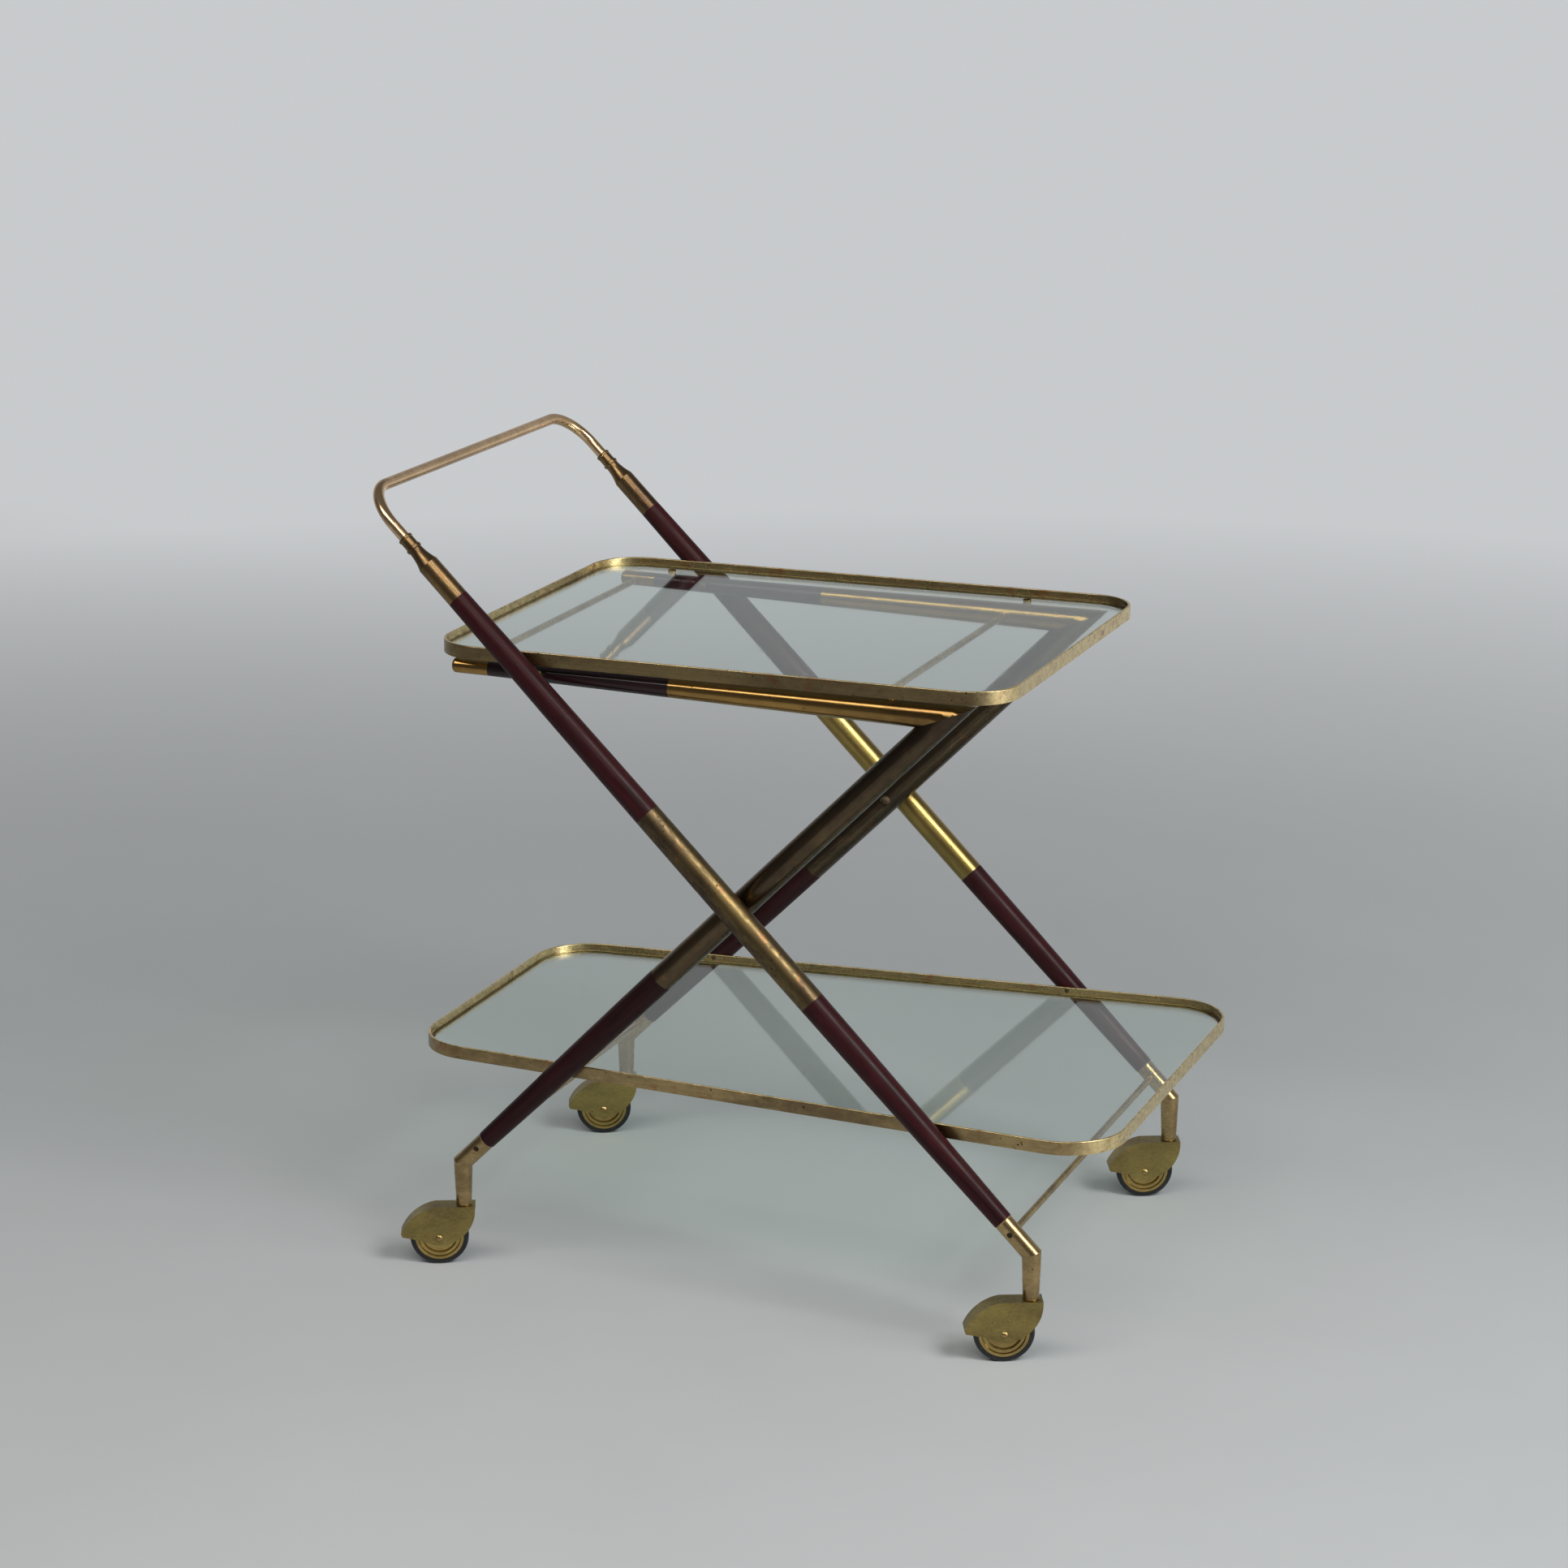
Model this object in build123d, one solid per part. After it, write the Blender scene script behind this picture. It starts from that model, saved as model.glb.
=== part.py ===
from build123d import *
from math import asin, atan, cos, radians, sin, tan
import os

# Bar cart in brass, mahogany and glass, in millimetres.
# X runs forward from the handle end, Y to the left of a person at the handle, Z up from the floor.
# The pieces are drawn about the point where the legs cross, midway between the two sides, and all
# are moved at the end so that the middle of the cart's footprint is the origin.

# Fits
press_gap = 0.1
shaft_gap = 0.05

# Turned pieces are turned this far about their own axes, so that no hole meets the line where the
# turned surface closes on itself
seam_turn = 40.0

# A screw or bolt stops this far short of the bottom of its hole
screw_tip_gap = 1.0

# Legs: distances run down each leg from the crossing, so those above it are negative
leg_tilt = 45.0
tray_leg_y = 194.5
crossing_gap = 2.5
leg_radius = 12.6
handle_leg_top_radius = 10.1
leg_foot_radius = 9.2
upper_wood_start = -378.0
handle_sleeve_start = -116.6
handle_sleeve_end = 109.2
tray_sleeve_end = 115.0
elbow_distance = 407.6
sleeve_wall = 2.0
sleeve_spigot_length = 30.0
ferrule_spigot_radius = 7.5
ferrule_spigot_length = 20.0
foot_spigot_radius = 6.5
foot_spigot_length = 22.0

# Feet: an arm on the leg's axis, and a post from the elbow down to the caster
handle_foot_arm = 38.8
tray_foot_arm = 37.0
foot_post_length = 41.5
foot_radius = 8.8
foot_shoulder = 1.0
foot_bottom_radius = 7.5
foot_rim_radius = 7.9
foot_rim_height = 1.6
foot_rim_slope = 0.3

# Handle tube and ferrules: the ferrule's rings and flare are placed from its upper end
handle_tube_reach = 55.2
handle_tube_radius = 5.3
handle_tube_wall = 1.0
handle_bend_radius = 40.0
ferrule_length = 74.5
ferrule_neck_radius = 6.4
ferrule_ring_radius = 7.0
ferrule_ring_width = 3.0
ferrule_collar_radius = 7.4
ferrule_collar_width = 4.0
ferrule_collar_start = 11.0
ferrule_ring_slope = 0.7
ferrule_flare_start = 16.0
ferrule_flare_end = 33.0
ferrule_flare_middle_radius = 7.5
ferrule_body_radius = 10.0
ferrule_tube_depth = 22.0

# Rails: distances run along each rail from the mitre towards the handle
mitre_distance = 272.0
rail_radius = 12.4
rail_end_radius = 7.1
rail_sleeve_length = 262.6
rail_wood_length = 179.7
rail_cap_length = 36.7
rail_wall = 1.8
rail_spigot_radius = 7.4
rail_spigot_length = 30.0
rail_cap_spigot_radius = 4.5
rail_cap_spigot_length = 13.0
rail_cap_rounding = 3.6

# Rods across the cart
rod_radius = 3.15
rod_socket_depth = 3.0
foot_rod_above_elbow = 25.6
foot_rod_floor = 0.4
rear_rail_rod_past_wood = 18.7
front_rail_rod_distance = 73.0
rod_screw_head_radius = 2.6
rod_screw_head_height = 1.5
rod_screw_shank_radius = 1.7
rod_screw_grip = 10.0
screw_slot_width = 0.8
screw_slot_depth = 0.6

# Bolts at the crossings and ties between rails and handle legs
crossing_boss_radius = 5.0
crossing_bolt_radius = 3.0
crossing_bolt_head_radius = 5.2
crossing_bolt_head_height = 3.2
crossing_bolt_seat_depth = 2.0
crossing_plug_length = 26.0
crossing_bolt_reach = 5.0
tie_boss_radius = 4.5
tie_screw_radius = 2.0
tie_screw_head_radius = 4.0
tie_screw_head_height = 2.4
tie_screw_reach = 4.0

# Trays: a brass band with a ledge that the glass lies on and a bead that holds it down
band_height = 12.5
band_wall = 2.6
band_edge_rounding = 0.8
ledge_width = 3.4
ledge_height = 1.5
bead_width = 0.6
bead_height = 0.8
glass_thickness = 4.5
glass_edge_gap = 0.2
glass_arris = 0.7
upper_tray_rear = -305.8
upper_tray_front = 251.2
upper_tray_corner = 46.0
upper_tray_above_rails = 3.3
lower_tray_rear = -353.7
lower_tray_front = 355.7
lower_tray_corner = 57.0
lower_tray_below_crossing = 180.7
tray_leg_gap = 0.6
tray_screw_radius = 1.5
tray_screw_head_radius = 2.4
tray_screw_head_height = 0.6
tray_screw_head_gap = 0.2
tray_screw_length = 12.0
rest_radius = 4.0
rest_shank_radius = 1.5
rest_shank_length = 7.0
front_rest_distance = 52.0
rear_rest_before_cap = 17.3

# Casters: the hood's outline is drawn from the axle, forward towards the stem and up. Its top and
# back are given by their room over the wheel, its front by its reach ahead of the stem.
wheel_radius = 28.0
caster_trail = 24.0
caster_turn = 24.0
swivel_gap = 0.3
hood_width = 20.0
hood_sheet = 1.2
hood_back_sheet = 0.9
hood_top_room = 3.0
hood_top_end = -4.0
hood_back_room = 4.4
hood_back_angle = 140.5
hood_lip_room = 8.7
hood_lip_angle = 173.0
hood_lip_width = 1.4
hood_lip_height = 3.3
hood_lobe_start = (-16.0, -2.4)
hood_lobe_bottom = (2.0, -7.2)
hood_lobe_end = (22.0, 1.0)
hood_front_reach = 10.5
hood_front_hollow = 4.1
hood_front_hollow_height = 11.4
hood_front_height = 4.0
stem_radius = 4.0
stem_chamfer = 1.0
stem_height = 32.0
stem_room = 1.0
stem_collar_radius = 6.6
stem_collar_height = 1.0
stem_flange_radius = 6.0
stem_flange_height = 1.5
axle_radius = 2.5
axle_head_radius = 3.3
axle_head_height = 1.7
tyre_width = 10.0
tyre_tread_width = 5.0
tyre_shoulder = 2.0
tyre_shoulder_bulge = (0.45, 0.4)
tyre_depth = 4.7
disc_rim_half_width = 4.6
disc_rim_depth = 2.7
disc_rim_slope = 0.8
disc_step_half_width = 3.2
disc_step_depth = 5.0
disc_step_slope = 1.6
disc_web_half_width = 1.6
hub_radius = 5.6
hub_side_gap = 0.7

# Places worked out from the sizes above
tilt = radians(leg_tilt)
handle_leg_y = tray_leg_y + 2 * leg_radius + crossing_gap
sleeve_bore = leg_radius - sleeve_wall
axle_height = wheel_radius
hood_top = wheel_radius + hood_top_room
foot_bottom = axle_height + hood_top + stem_collar_height + swivel_gap
elbow_x = elbow_distance * cos(tilt)
elbow_z = foot_bottom + foot_post_length
crossing_height = elbow_z + elbow_distance * sin(tilt)
handle_foot_start = elbow_distance - handle_foot_arm
tray_foot_start = elbow_distance - tray_foot_arm
foot_rod_distance = elbow_distance - foot_rod_above_elbow
foot_rod_seat = foot_spigot_radius + press_gap + foot_rod_floor
ferrule_start = upper_wood_start - ferrule_length
handle_bar_distance = ferrule_start - handle_tube_reach
rail_wood_end = rail_sleeve_length + rail_wood_length
rail_length = rail_wood_end + rail_cap_length
rear_rail_rod_distance = rail_wood_end + rear_rail_rod_past_wood
rest_distances = (front_rest_distance, rail_wood_end - rear_rest_before_cap)
mitre_point = Vector(mitre_distance * cos(tilt), 0, crossing_height + mitre_distance * sin(tilt))
rail_slope = atan((rail_radius - rail_end_radius) / rail_wood_end)
rail_top = mitre_point.Z + rail_radius
upper_tray_bottom = rail_top + upper_tray_above_rails
lower_tray_top = crossing_height - lower_tray_below_crossing
lower_tray_bottom = lower_tray_top - band_height
glass_top = ledge_height + glass_thickness
hood_front = caster_trail + hood_front_reach
hub_half_width = hood_width / 2 - hood_sheet - hub_side_gap
disc_radius = wheel_radius - tyre_depth
disc_rim_inner = disc_radius - disc_rim_depth
disc_step_inner = disc_rim_inner - disc_step_depth


def swell(far_radius, far_distance):
    """Radius of a leg that is thickest at the crossing and has far_radius at far_distance."""
    return lambda distance: leg_radius - (leg_radius - far_radius) * (distance / far_distance) ** 2


upper_handle_leg = swell(handle_leg_top_radius, upper_wood_start)
lower_leg = swell(leg_foot_radius, handle_foot_start)


def straight_leg(distance):
    """Radius of a tray leg above the crossing, where it stays nearly even up to the mitre."""
    return leg_radius - (leg_radius - rail_radius) * distance / -mitre_distance


def rail_radius_at(distance):
    """Radius of a rail, which narrows evenly from the mitre to its end cap."""
    return rail_radius - (rail_radius - rail_end_radius) * distance / rail_wood_end


def turned(*outline):
    """A piece turned about Z from the edges of its section, drawn in X and Z."""
    edges = [edge for part in outline for edge in part.edges()]
    return revolve(make_face(edges), Axis.Z)


def section(*points):
    """Straight edges of a section through (radius, distance) points."""
    return Polyline(*[(radius, 0, distance) for radius, distance in points])


def swelled_side(radius_at, start, end):
    """Gently curved side of a turned length, through its two ends and its middle."""
    middle = (start + end) / 2
    return Spline(
        (radius_at(start), 0, start), (radius_at(middle), 0, middle), (radius_at(end), 0, end)
    )


def even_side(radius_at, start, end):
    """Straight side of a turned length."""
    return section((radius_at(start), start), (radius_at(end), end))


def turned_wood(side, start_spigot, end_spigot):
    """A wood length with the given side and a spigot at each end, given as (radius, length)."""
    start, end = side @ 0, side @ 1
    start_radius, start_length = start_spigot
    end_radius, end_length = end_spigot
    ends = section(
        (end.X, end.Z),
        (end_radius, end.Z),
        (end_radius, end.Z + end_length),
        (0, end.Z + end_length),
        (0, start.Z - start_length),
        (start_radius, start.Z - start_length),
        (start_radius, start.Z),
        (start.X, start.Z),
    )
    return turned(side, ends)


def bored_sleeve(upper_side, lower_side, bore):
    """A brass tube with the given outer sides and an even bore."""
    start, end = upper_side @ 0, lower_side @ 1
    inner = section((end.X, end.Z), (bore, end.Z), (bore, start.Z), (start.X, start.Z))
    return turned(upper_side, lower_side, inner)


def domed_head(radius, height):
    """A round head with a flat seat at Z = 0 and a crown that is part of a ball."""
    ball = (radius**2 + height**2) / (2 * height)
    half_turn = asin(radius / ball) / 2
    middle = (ball * sin(half_turn), 0, height - ball + ball * cos(half_turn))
    crown = ThreePointArc((radius, 0, 0), middle, (0, 0, height))
    return turned(crown, section((0, height), (0, 0), (radius, 0)))


def across(radius, x, z, start_y, end_y):
    """A round bar that lies across the cart at (x, z)."""
    length = abs(end_y - start_y)
    place = Pos(x, (start_y + end_y) / 2, z) * Rot(90, 0, 0) * Rot(0, 0, seam_turn)
    return place * Cylinder(radius, length)


def head_across(radius, height, x, z, seat_y, side):
    """A domed head seated at seat_y whose crown points to the given side of the cart."""
    return Pos(x, seat_y, z) * Rot(-90 * side, 0, 0) * domed_head(radius, height)


def leg_direction(forward):
    """Unit vector down a leg: forward is 1 for the handle legs and -1 for the tray legs."""
    return Vector(forward * cos(tilt), 0, -sin(tilt))


def on_leg(shape, forward, y):
    """Moves a turned piece from its own Z axis onto a leg's axis."""
    leg = Plane(origin=(0, y, crossing_height), x_dir=(0, 1, 0), z_dir=leg_direction(forward))
    return leg.location * Rot(0, 0, seam_turn) * shape


def on_rail(shape, y):
    """Moves a turned piece from its own Z axis onto a rail's axis."""
    along = Vector(-cos(rail_slope), 0, sin(rail_slope))
    rail = Plane(origin=(mitre_point.X, y, mitre_point.Z), x_dir=(0, 1, 0), z_dir=along)
    return rail.location * Rot(0, 0, seam_turn) * shape


def rail_point(distance):
    """Centre of a rail at a distance from its mitre, as (x, z)."""
    return (
        mitre_point.X - distance * cos(rail_slope),
        mitre_point.Z + distance * sin(rail_slope),
    )


def leg_point(distance, forward):
    """Centre of a leg at a distance below the crossing, as (x, z)."""
    return forward * distance * cos(tilt), crossing_height - distance * sin(tilt)


# The rail and its handle leg cross here, seen from the side
tie_x = -mitre_point.X * (1 + tan(rail_slope)) / (1 - tan(rail_slope))
tie_z = crossing_height - tie_x


def mitre_plane(y):
    """Plane of the mitre between a tray leg and its rail, facing the rail."""
    up_leg = -leg_direction(-1)
    along_rail = Vector(-cos(rail_slope), 0, sin(rail_slope))
    return Plane(origin=(mitre_point.X, y, mitre_point.Z), z_dir=(up_leg + along_rail).normalized())


def handle_tube():
    """Push handle: a U of tube in the slope of the handle legs."""
    end_x, end_z = leg_point(ferrule_start + ferrule_tube_depth, 1)
    bar_x, bar_z = leg_point(handle_bar_distance, 1)
    path = FilletPolyline(
        (end_x, -handle_leg_y, end_z),
        (bar_x, -handle_leg_y, bar_z),
        (bar_x, handle_leg_y, bar_z),
        (end_x, handle_leg_y, end_z),
        radius=handle_bend_radius,
    )
    start = Plane(origin=path @ 0, z_dir=path % 0)
    ring = start * (Circle(handle_tube_radius) - Circle(handle_tube_radius - handle_tube_wall))
    return sweep(ring, path)


def ferrule_ring(start, width, radius):
    """Section points of a ring that stands out from the ferrule's neck."""
    end = start + width
    return [
        (ferrule_neck_radius, start),
        (radius, start + ferrule_ring_slope),
        (radius, end - ferrule_ring_slope),
        (ferrule_neck_radius, end),
    ]


def ferrule(side):
    """Turned ferrule: a ringed neck for the tube, a hollow flare, and a body for the wood."""
    top = ferrule_start
    tube_bore = handle_tube_radius + press_gap
    wood_bore = ferrule_spigot_radius + press_gap
    flare_start = top + ferrule_flare_start
    flare_end = top + ferrule_flare_end
    neck = section(
        (tube_bore, top),
        *ferrule_ring(top, ferrule_ring_width, ferrule_ring_radius),
        *ferrule_ring(top + ferrule_collar_start, ferrule_collar_width, ferrule_collar_radius),
        (ferrule_neck_radius, flare_start),
    )
    flare = ThreePointArc(
        (ferrule_neck_radius, 0, flare_start),
        (ferrule_flare_middle_radius, 0, (flare_start + flare_end) / 2),
        (ferrule_body_radius, 0, flare_end),
    )
    body = section(
        (ferrule_body_radius, flare_end),
        (handle_leg_top_radius, upper_wood_start),
        (wood_bore, upper_wood_start),
        (wood_bore, upper_wood_start - ferrule_spigot_length - press_gap),
        (0, upper_wood_start - ferrule_spigot_length - press_gap),
        (0, top + ferrule_tube_depth + press_gap),
        (tube_bore, top + ferrule_tube_depth + press_gap),
        (tube_bore, top),
    )
    return on_leg(turned(neck, flare, body), 1, side * handle_leg_y)


def handle_leg_upper_wood(side):
    """Mahogany between the ferrule and the crossing sleeve, bored for the tie screw."""
    wood = turned_wood(
        swelled_side(upper_handle_leg, upper_wood_start, handle_sleeve_start),
        (ferrule_spigot_radius, ferrule_spigot_length),
        (sleeve_bore - press_gap, sleeve_spigot_length),
    )
    y = side * handle_leg_y
    hole = across(
        tie_screw_radius + shaft_gap, tie_x, tie_z, y - side * leg_radius, y + side * tie_screw_reach
    )
    return on_leg(wood, 1, y) - hole


def handle_leg_sleeve(side):
    """Brass sleeve of a handle leg at the crossing, bored on its inner side for the bolt."""
    y = side * handle_leg_y
    upper_side = swelled_side(upper_handle_leg, handle_sleeve_start, 0)
    lower_side = swelled_side(lower_leg, 0, handle_sleeve_end)
    tube = bored_sleeve(upper_side, lower_side, sleeve_bore)
    hole = across(crossing_bolt_radius + shaft_gap, 0, crossing_height, y - side * 2 * leg_radius, y)
    return on_leg(tube, 1, y) - hole


def foot_rod_cuts(forward, y, side):
    """Holes through a foot for the end of its rod, the screw's shank and the screw's head."""
    x, z = leg_point(foot_rod_distance, forward)
    rod_end = across(
        rod_radius + press_gap, x, z, y - side * 2 * foot_radius, y - side * foot_rod_seat
    )
    shank = across(
        rod_screw_shank_radius + shaft_gap, x, z, y - side * foot_radius, y + side * foot_radius
    )
    head = across(
        rod_screw_head_radius + press_gap, x, z, y + side * foot_rod_seat, y + side * 2 * foot_radius
    )
    return rod_end + shank + head


def lower_wood(side, forward, y, sleeve_end, foot_start):
    """Mahogany between a sleeve and a foot, with the rod's screw and the tray's screw through it."""
    wood = turned_wood(
        swelled_side(lower_leg, sleeve_end, foot_start),
        (sleeve_bore - press_gap, sleeve_spigot_length),
        (foot_spigot_radius, foot_spigot_length),
    )
    x, z = leg_point(foot_rod_distance, forward)
    rod_hole = across(rod_screw_shank_radius + shaft_gap, x, z, y - leg_radius, y + leg_radius)
    return on_leg(wood, forward, y) - rod_hole - tray_screw_hole(side, forward)


def tray_screw_point(forward):
    """Where a tray screw enters its leg, as (x, z)."""
    bead_top = lower_tray_bottom + glass_top + bead_height
    z = bead_top + tray_screw_head_gap + tray_screw_head_radius
    return forward * (crossing_height - z) / tan(tilt), z


def tray_half_width(x):
    """Half width of the lower tray's band, which fits between the tray legs and the handle legs."""
    drop = crossing_height - (lower_tray_top - band_height / 2)
    leg_distance = drop / sin(tilt)
    place = drop / tan(tilt)
    at_rear = tray_leg_y - lower_leg(leg_distance) - tray_leg_gap
    at_front = handle_leg_y - lower_leg(leg_distance) - tray_leg_gap
    return at_rear + (at_front - at_rear) * (x + place) / (2 * place)


def tray_screw_hole(side, forward):
    """Hole for a tray screw in the band and the leg behind it."""
    x, z = tray_screw_point(forward)
    inside = tray_half_width(x) - band_wall
    return across(
        tray_screw_radius + shaft_gap,
        x,
        z,
        side * (inside - band_wall),
        side * (inside + tray_screw_length),
    )


def foot(side, forward, y, foot_start):
    """Brass foot: an arm on the leg's axis mitred to a tapered post that takes the caster's stem."""
    reach = 2 * foot_radius
    down = leg_direction(forward)
    elbow = Plane(origin=(forward * elbow_x, y, elbow_z), z_dir=(down + Vector(0, 0, -1)).normalized())
    arm = turned(section(
        (0, foot_start),
        (leg_foot_radius, foot_start),
        (foot_radius, foot_start + foot_shoulder),
        (foot_radius, elbow_distance + reach),
        (0, elbow_distance + reach),
        (0, foot_start),
    ))
    taper_top = elbow_z - foot_radius * tan(tilt / 2)
    post = turned(section(
        (0, foot_bottom),
        (foot_rim_radius, foot_bottom),
        (foot_rim_radius, foot_bottom + foot_rim_height),
        (foot_bottom_radius, foot_bottom + foot_rim_height + foot_rim_slope),
        (foot_radius, taper_top),
        (foot_radius, elbow_z + reach),
        (0, elbow_z + reach),
        (0, foot_bottom),
    ))
    arm = split(on_leg(arm, forward, y), bisect_by=elbow, keep=Keep.BOTTOM)
    post = Pos(forward * elbow_x, y, 0) * Rot(0, 0, seam_turn) * post
    post = split(post, bisect_by=elbow, keep=Keep.TOP)
    spigot_depth = foot_spigot_length + press_gap
    socket = Pos(0, 0, foot_start + spigot_depth / 2) * Cylinder(
        foot_spigot_radius + press_gap, spigot_depth
    )
    bore_depth = stem_height + stem_room
    bore = Pos(forward * elbow_x, y, foot_bottom + bore_depth / 2) * Cylinder(
        stem_radius + shaft_gap, bore_depth
    )
    return arm + post - on_leg(socket, forward, y) - bore - foot_rod_cuts(forward, y, side)


def mitred_tray_leg_sleeve(side):
    """Brass sleeve of a tray leg, from its wood through the crossing to the mitre."""
    y = side * tray_leg_y
    past_mitre = -mitre_distance - 3 * rail_radius
    upper_side = even_side(straight_leg, past_mitre, 0)
    lower_side = swelled_side(lower_leg, 0, tray_sleeve_end)
    tube = bored_sleeve(upper_side, lower_side, sleeve_bore)
    cut = split(on_leg(tube, -1, y), bisect_by=mitre_plane(y), keep=Keep.BOTTOM)
    hole = across(
        crossing_bolt_radius + shaft_gap, 0, crossing_height, y - 2 * leg_radius, y + 2 * leg_radius
    )
    return cut - hole


def rail_rod_hole(distance, side, radius):
    """Hole in the inner side of a rail for the end of a rod."""
    x, z = rail_point(distance)
    y = side * tray_leg_y
    depth = rail_radius_at(distance) - rod_socket_depth
    return across(radius, x, z, y - side * 2 * rail_radius, y - side * depth)


def rest_hole(distance, side):
    """Hole in the top of a rail for the shank of a tray rest."""
    x, _ = rail_point(distance)
    depth = rest_shank_length + press_gap
    return Pos(x, side * tray_leg_y, rail_top - depth / 2) * Cylinder(
        rest_shank_radius + shaft_gap, depth
    )


def rail_sleeve(side):
    """Tapered brass sleeve of a rail, mitred to the tray leg."""
    y = side * tray_leg_y
    before_mitre = -3 * rail_radius
    socket_start = rail_sleeve_length - rail_spigot_length - press_gap
    bore = rail_spigot_radius + press_gap
    tube = turned(section(
        (rail_radius_at(before_mitre), before_mitre),
        (rail_radius_at(rail_sleeve_length), rail_sleeve_length),
        (bore, rail_sleeve_length),
        (bore, socket_start),
        (rail_radius_at(before_mitre) - rail_wall, before_mitre),
        (rail_radius_at(before_mitre), before_mitre),
    ))
    cut = split(on_rail(tube, y), bisect_by=mitre_plane(y), keep=Keep.TOP)
    rod_hole = rail_rod_hole(front_rail_rod_distance, side, rod_radius + press_gap)
    return cut - rod_hole - rest_hole(rest_distances[0], side)


def rail_wood(side):
    """Mahogany length of a rail, bored for the tie screw and for a tray rest."""
    y = side * tray_leg_y
    wood = turned_wood(
        even_side(rail_radius_at, rail_sleeve_length, rail_wood_end),
        (rail_spigot_radius, rail_spigot_length),
        (rail_cap_spigot_radius, rail_cap_spigot_length),
    )
    hole = across(tie_screw_radius + shaft_gap, tie_x, tie_z, y - rail_radius, y + rail_radius)
    return on_rail(wood, y) - hole - rest_hole(rest_distances[1], side)


def rail_cap(side):
    """Rounded brass cap on the handle end of a rail."""
    socket = rail_wood_end + rail_cap_spigot_length + press_gap
    bore = rail_cap_spigot_radius + press_gap
    cap = turned(section(
        (bore, rail_wood_end),
        (rail_end_radius, rail_wood_end),
        (rail_end_radius, rail_length),
        (0, rail_length),
        (0, socket),
        (bore, socket),
        (bore, rail_wood_end),
    ))
    end_edge = cap.edges().filter_by(GeomType.CIRCLE).group_by(Axis.Z)[-1]
    rounded = fillet(end_edge, rail_cap_rounding)
    rod_hole = rail_rod_hole(rear_rail_rod_distance, side, rod_radius + press_gap)
    return on_rail(rounded, side * tray_leg_y) - rod_hole


def rail_rod(distance):
    """Brass rod between the two rails."""
    x, z = rail_point(distance)
    reach = tray_leg_y - rail_radius_at(distance) + rod_socket_depth
    return across(rod_radius, x, z, -reach, reach)


def foot_rod(forward, y):
    """Brass rod between two feet, tapped at each end for its screw."""
    x, z = leg_point(foot_rod_distance, forward)
    reach = y - foot_rod_seat
    rod = across(rod_radius, x, z, -reach, reach)
    for side in (-1, 1):
        inner_end = side * (reach - rod_screw_grip)
        rod -= across(rod_screw_shank_radius + shaft_gap, x, z, inner_end, side * reach)
    return rod


def rod_end_screw(side, forward, y):
    """Slotted screw sunk in the outer face of a foot, holding the rod's end."""
    x, z = leg_point(foot_rod_distance, forward)
    seat = y + foot_rod_seat
    head_top = seat + rod_screw_head_height
    tip = y - foot_rod_seat - rod_screw_grip + screw_tip_gap
    head = across(rod_screw_head_radius, x, z, side * seat, side * head_top)
    shank = across(rod_screw_shank_radius, x, z, side * tip, side * seat)
    slot = Pos(x, side * head_top, z) * Box(
        2 * rod_screw_head_radius, 2 * screw_slot_depth, screw_slot_width
    )
    return head + shank - slot


def crossing_boss(side):
    """Boss that holds a pair of crossed legs apart, with ends hollowed to fit them."""
    inner, outer = side * tray_leg_y, side * handle_leg_y
    boss = across(crossing_boss_radius, 0, crossing_height, inner, outer)
    boss -= across(crossing_bolt_radius + shaft_gap, 0, crossing_height, inner, outer)
    for forward, y in ((-1, inner), (1, outer)):
        boss -= on_leg(Cylinder(leg_radius, 6 * leg_radius), forward, y)
    return boss


def crossing_bolt(side):
    """Round-head bolt from the inner side of a tray leg into its handle leg."""
    head_seat = side * (tray_leg_y - leg_radius)
    end = side * (handle_leg_y + crossing_bolt_reach)
    shank = across(crossing_bolt_radius, 0, crossing_height, head_seat, end)
    collar_end = side * (tray_leg_y - leg_radius + crossing_bolt_seat_depth)
    head = head_across(
        crossing_bolt_head_radius, crossing_bolt_head_height, 0, crossing_height, head_seat, -side
    ) + across(crossing_bolt_head_radius, 0, crossing_height, head_seat, collar_end)
    return head - on_leg(Cylinder(leg_radius, 6 * leg_radius), -1, side * tray_leg_y) + shank


def crossing_plug(forward, y, side):
    """Brass plug inside a sleeve at the crossing, bored for the bolt."""
    plug = on_leg(Cylinder(sleeve_bore - press_gap, crossing_plug_length), forward, y)
    reach = crossing_bolt_reach + press_gap if forward > 0 else 2 * leg_radius
    return plug - across(
        crossing_bolt_radius + shaft_gap, 0, crossing_height, y - side * 2 * leg_radius, y + side * reach
    )


def tie_boss(side):
    """Boss between a rail and its handle leg, with ends hollowed to fit them."""
    inner, outer = side * tray_leg_y, side * handle_leg_y
    boss = across(tie_boss_radius, tie_x, tie_z, inner, outer)
    boss -= across(tie_screw_radius + shaft_gap, tie_x, tie_z, inner, outer)
    return (boss - rail_wood(side) - handle_leg_upper_wood(side)).solids().sort_by(SortBy.VOLUME)[-1]


def tie_screw(side):
    """Round-head screw from the inner side of a rail into its handle leg."""
    distance = (mitre_point.X - tie_x) / cos(rail_slope)
    seat = side * (tray_leg_y - rail_radius_at(distance))
    end = side * (handle_leg_y + tie_screw_reach - screw_tip_gap)
    shank = across(tie_screw_radius, tie_x, tie_z, seat, end)
    return shank + head_across(tie_screw_head_radius, tie_screw_head_height, tie_x, tie_z, seat, -side)


def tray_outline(rear, front, half_width_at, corner):
    """Plan of a tray: four straight sides with rounded corners."""
    corners = [
        (rear, -half_width_at(rear)),
        (front, -half_width_at(front)),
        (front, half_width_at(front)),
        (rear, half_width_at(rear)),
    ]
    plan = make_face(Polyline(*corners, close=True))
    return fillet(plan.vertices(), corner)


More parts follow.
